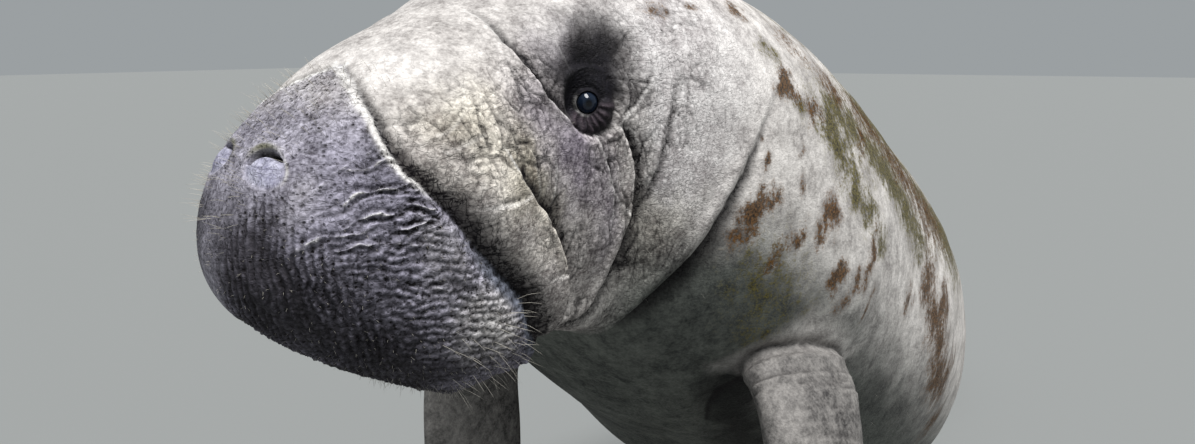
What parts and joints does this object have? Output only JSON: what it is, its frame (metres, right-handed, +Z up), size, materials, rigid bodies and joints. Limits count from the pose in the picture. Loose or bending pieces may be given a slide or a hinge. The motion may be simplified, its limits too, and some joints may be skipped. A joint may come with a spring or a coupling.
{
  "type": "manatee",
  "caption": "Life-size adult manatee with its head raised and flippers hanging, as a still display model held over a flat base by rods.",
  "frame": {"origin": "middle of the underside of the stand's base, on the floor", "axes": "+Z up, -Y towards the animal's head, +X towards its left side"},
  "size_m": [0.8008, 2.7876, 1.2323],
  "materials": {
    "muzzle_skin": "matt, bristled, finely wrinkled",
    "skin": "matt, wrinkled, with patches of algae",
    "eye": "wet gloss",
    "nail": "satin horn",
    "stand_board": "matt stained board",
    "stand_steel": "brushed"
  },
  "bodies": {
    "root": {"muzzle": "muzzle_skin", "lower_jaw": "muzzle_skin", "head": "skin", "neck": "skin", "trunk_front": "skin", "trunk_rear": "skin", "tail_stock": "skin", "tail_paddle": "skin", "flipper_left": "skin", "flipper_right": "skin", "eye_left": "eye", "eye_right": "eye", "nail_left_1": "nail", "nail_left_2": "nail", "nail_left_3": "nail", "nail_right_1": "nail", "nail_right_2": "nail", "nail_right_3": "nail", "stand_base": "stand_board", "stand_rod_front": "stand_steel", "stand_rod_rear": "stand_steel"}
  },
  "joints": []
}
